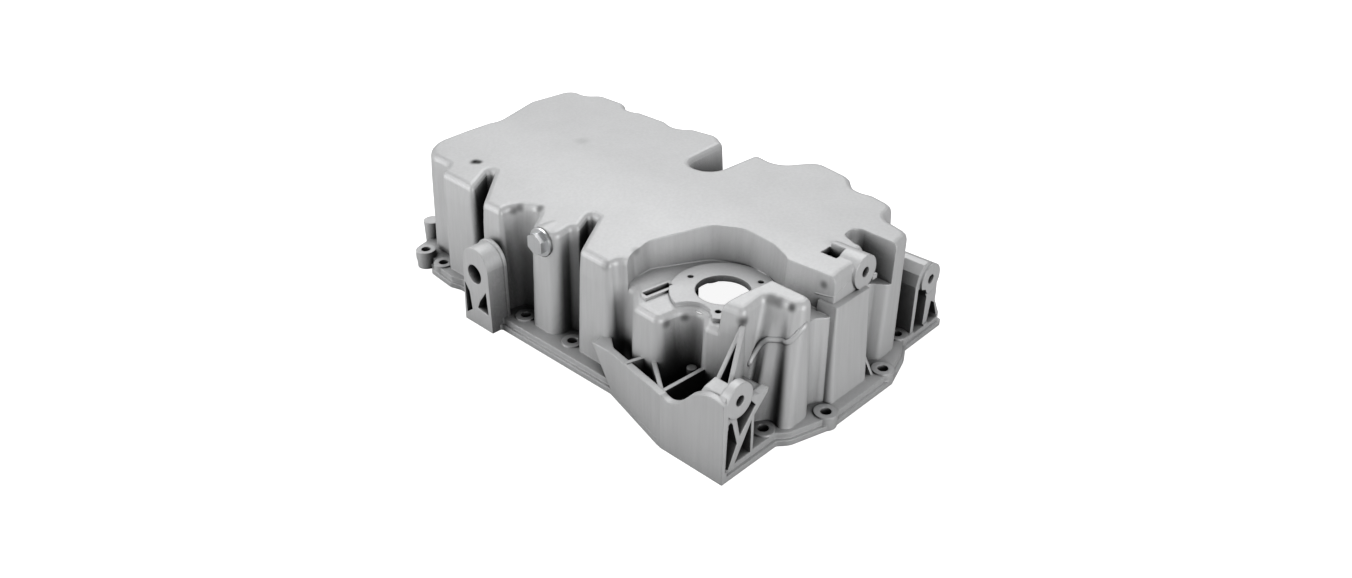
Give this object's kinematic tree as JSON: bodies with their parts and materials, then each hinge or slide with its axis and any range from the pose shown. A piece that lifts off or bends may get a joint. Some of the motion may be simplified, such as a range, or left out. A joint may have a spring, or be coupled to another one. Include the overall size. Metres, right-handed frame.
{
  "type": "engine oil pan",
  "caption": "Cast aluminium engine oil pan with a lobed sump, gasket flange, gearbox ears, a level sensor seat and a hexagon drain plug.",
  "frame": {"origin": "in the gasket plane, under the crank axis, at the gearbox face", "axes": "+X along the crank axis towards the gearbox, +Y across the engine, +Z away from the gasket plane towards the sump floor"},
  "size_m": [0.4774, 0.3025, 0.1218],
  "materials": {
    "casting": "blasted as cast",
    "plug": "bright zinc",
    "washer": "satin"
  },
  "bodies": {
    "root": {"pan_casting": "casting", "drain_plug": "plug", "drain_plug_washer": "washer"}
  },
  "joints": []
}
